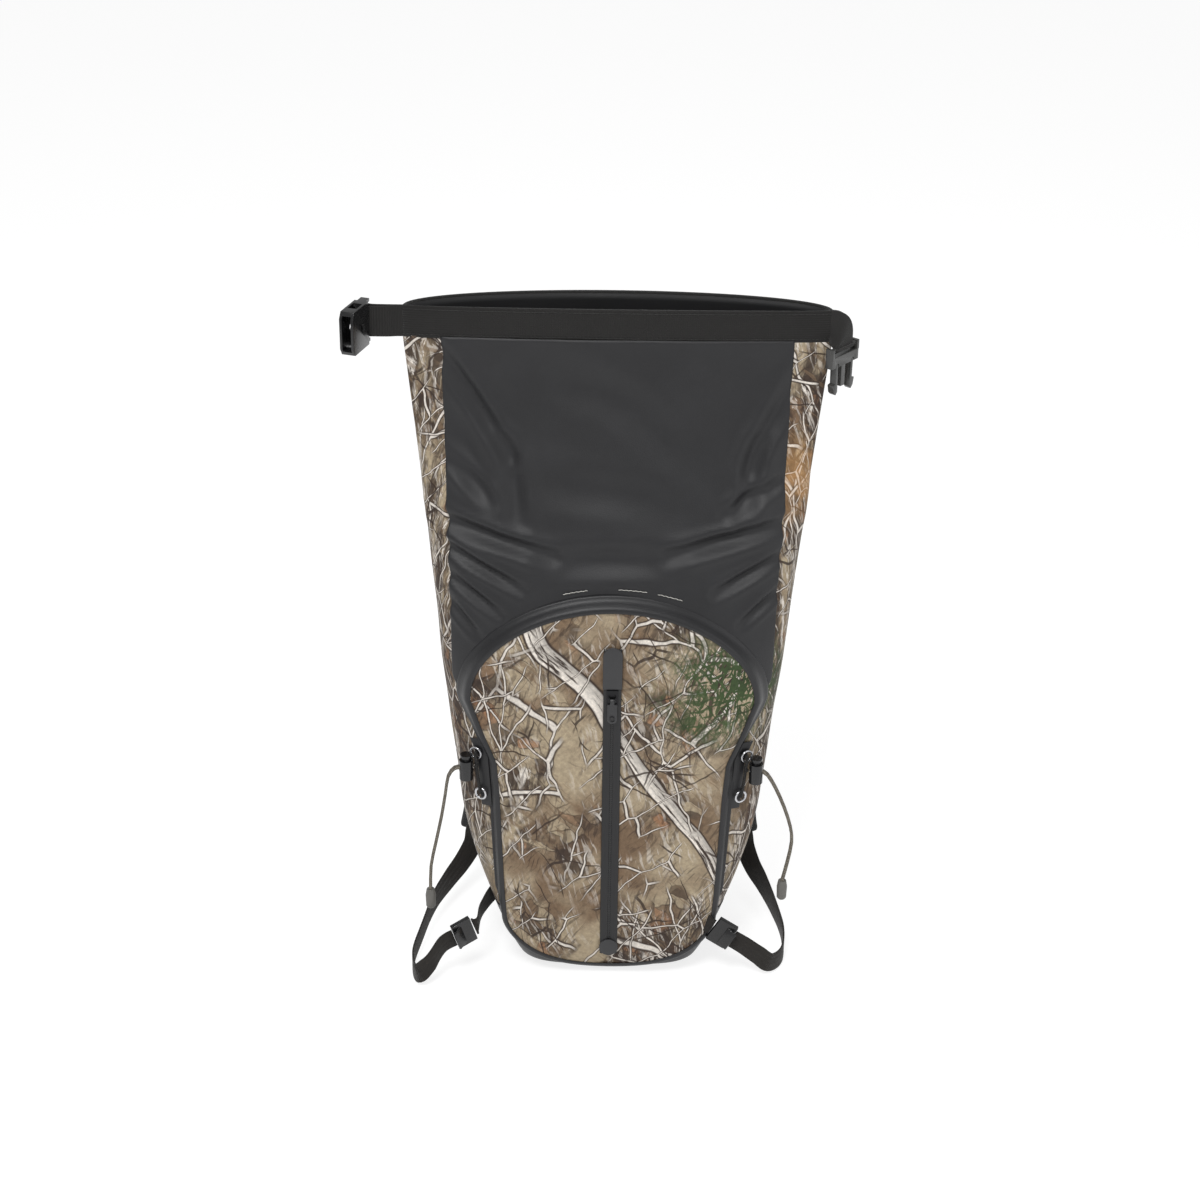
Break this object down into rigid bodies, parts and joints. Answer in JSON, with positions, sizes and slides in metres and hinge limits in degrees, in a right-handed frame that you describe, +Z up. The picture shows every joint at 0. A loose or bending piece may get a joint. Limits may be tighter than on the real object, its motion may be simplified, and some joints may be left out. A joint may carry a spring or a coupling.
{
  "type": "roll-top backpack",
  "caption": "Tall roll-top hunting backpack with an open webbing collar, a zipped arched front pocket, side bungees, shoulder straps and a closure buckle.",
  "frame": {"origin": "centre of the flat base, on the surface that the bag stands on", "axes": "+Z up towards the mouth, the zipped pocket faces -Y, +X to the right seen from the front"},
  "size_m": [0.4584, 0.237, 0.667],
  "materials": {
    "coated_charcoal": "matte coated fabric",
    "camo": null,
    "webbing": "black woven webbing",
    "stiffener": "plain",
    "soft_plastic": "soft moulded",
    "black_plastic": "gloss moulded",
    "grey_plastic": "gloss moulded",
    "zip_metal": "black painted die casting",
    "ring_metal": "bright plated wire",
    "spring_steel": "wire",
    "bungee": "braided",
    "bungee_grey": "braided",
    "padding": "padded mesh fabric"
  },
  "bodies": {
    "bag": {"base_boot": "coated_charcoal", "front_wall": "coated_charcoal", "back_wall": "coated_charcoal", "left_gusset": "camo", "right_gusset": "camo", "throat": "coated_charcoal", "pocket_panel": "camo", "pocket_binding": "coated_charcoal", "zip_tape_left": "coated_charcoal", "zip_tape_right": "coated_charcoal", "zip_coil": "black_plastic", "zip_garage": "soft_plastic", "zip_bottom_stop": "soft_plastic", "left_ring_patch": "coated_charcoal", "right_ring_patch": "coated_charcoal", "left_rings": "ring_metal", "right_rings": "ring_metal", "left_lace": "bungee", "right_lace": "bungee", "left_lock_barrel": "black_plastic", "right_lock_barrel": "black_plastic", "left_lock_spring": "spring_steel", "right_lock_spring": "spring_steel", "left_tail_a": "bungee_grey", "left_tail_b": "bungee_grey", "right_tail_a": "bungee_grey", "right_tail_b": "bungee_grey", "left_cord_end": "soft_plastic", "right_cord_end": "soft_plastic", "left_shoulder_strap": "padding", "right_shoulder_strap": "padding", "left_strap_web": "webbing", "right_strap_web": "webbing", "left_ladder_lock": "black_plastic", "right_ladder_lock": "black_plastic", "left_anchor_tab": "webbing", "right_anchor_tab": "webbing", "strap_yoke": "webbing", "left_back_pad": "padding", "right_back_pad": "padding", "haul_handle": "webbing"},
    "collar": {"collar_front": "webbing", "collar_back": "webbing", "front_stiffener": "stiffener", "back_stiffener": "stiffener", "left_buckle_tab": "webbing", "right_buckle_tab": "webbing"},
    "buckle_socket_half": {"buckle_socket": "black_plastic"},
    "buckle_plug_half": {"buckle_plug": "grey_plastic"},
    "prong_front": {"plug_prong_front": "grey_plastic"},
    "prong_rear": {"plug_prong_rear": "grey_plastic"},
    "slider": {"zip_slider": "zip_metal"},
    "pull_tab": {"zip_pull": "soft_plastic"},
    "left_plunger": {"left_lock_plunger": "black_plastic"},
    "right_plunger": {"right_lock_plunger": "black_plastic"}
  },
  "joints": [
    {"name": "roll_top_fold", "type": "hinge", "parent": "bag", "child": "collar", "pos_m": [0, -0.02, 0.607], "axis": [1, 0, 0], "range_deg": [0, 180], "deforming": ["throat"]},
    {"name": "socket_swing", "type": "hinge", "parent": "collar", "child": "buckle_socket_half", "pos_m": [-0.224, 0, 0.647], "axis": [0, 0, 1], "range_deg": [-127, 23]},
    {"name": "plug_swing", "type": "hinge", "parent": "collar", "child": "buckle_plug_half", "pos_m": [0.2, 0, 0.6273], "axis": [0.6428, 0.766, 0], "range_deg": [-90, 8]},
    {"name": "prong_front_press", "type": "hinge", "parent": "buckle_plug_half", "child": "prong_front", "pos_m": [0.19261, -0.00881, 0.613], "axis": [-0.766, 0.6428, 0], "range_deg": [-8, 0], "stiffness_Nm_per_rad": 0.02, "springref_deg": 1.15},
    {"name": "prong_rear_press", "type": "hinge", "parent": "buckle_plug_half", "child": "prong_rear", "pos_m": [0.20739, 0.00881, 0.613], "axis": [-0.766, 0.6428, 0], "range_deg": [0, 8], "stiffness_Nm_per_rad": 0.02, "springref_deg": -1.15},
    {"name": "zip_slide", "type": "slide", "parent": "bag", "child": "slider", "axis": [0, 0, -1], "range_m": [0, 0.24]},
    {"name": "pull_tab_lift", "type": "hinge", "parent": "slider", "child": "pull_tab", "pos_m": [0, -0.0795, 0.309], "axis": [1, 0, 0], "range_deg": [-110, 0]},
    {"name": "left_lock_press", "type": "slide", "parent": "bag", "child": "left_plunger", "axis": [0, 0, -1], "range_m": [0, 0.003], "stiffness_N_per_m": 100, "springref_m": -0.003, "deforming": ["left_lock_spring"]},
    {"name": "right_lock_press", "type": "slide", "parent": "bag", "child": "right_plunger", "axis": [0, 0, -1], "range_m": [0, 0.003], "stiffness_N_per_m": 100, "springref_m": -0.003, "deforming": ["right_lock_spring"]}
  ]
}
